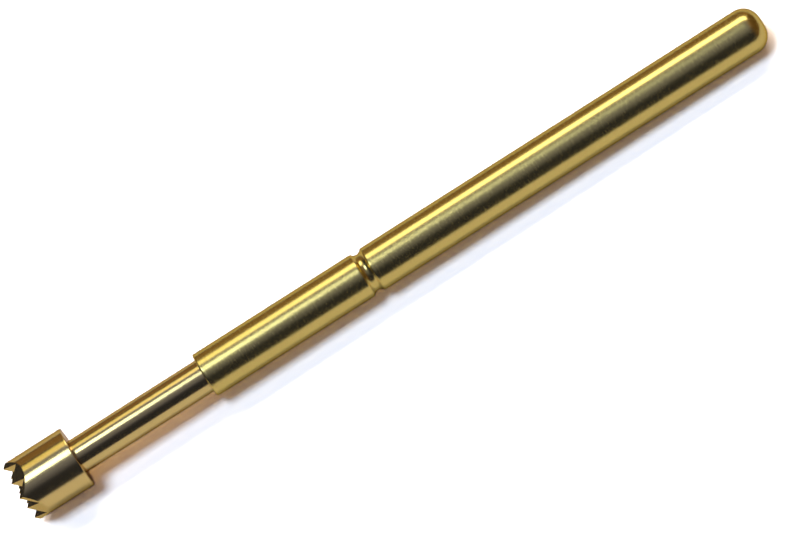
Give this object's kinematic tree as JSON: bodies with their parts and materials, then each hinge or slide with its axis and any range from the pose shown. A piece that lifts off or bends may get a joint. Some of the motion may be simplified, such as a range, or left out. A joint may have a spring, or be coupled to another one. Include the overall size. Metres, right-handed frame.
{
  "type": "pogo pin",
  "caption": "Slim spring-loaded contact pin: a plunger with a broad serrated head slides in a round-tailed tube with a rolled groove.",
  "frame": {"origin": "centre of the barrel's mouth, on the pin's axis", "axes": "+X along the pin's axis from the closed tail towards the serrated head; Y and Z lie across the pin, parallel to the two rows of teeth"},
  "size_m": [0.0245, 0.0018, 0.0018],
  "materials": {
    "barrel_gold": "gold plated, satin, fine draw lines along the tube",
    "plunger_gold": "gold plated, polished, fine turning marks round the head",
    "spring_steel": "bright drawn wire"
  },
  "bodies": {
    "barrel": {"barrel": "barrel_gold", "spring": "spring_steel"},
    "plunger": {"plunger": "plunger_gold"}
  },
  "joints": [
    {"name": "plunger_slide", "type": "slide", "parent": "barrel", "child": "plunger", "axis": [-1, 0, 0], "range_m": [0, 0.004], "stiffness_N_per_m": 390, "deforming": ["spring"]}
  ]
}
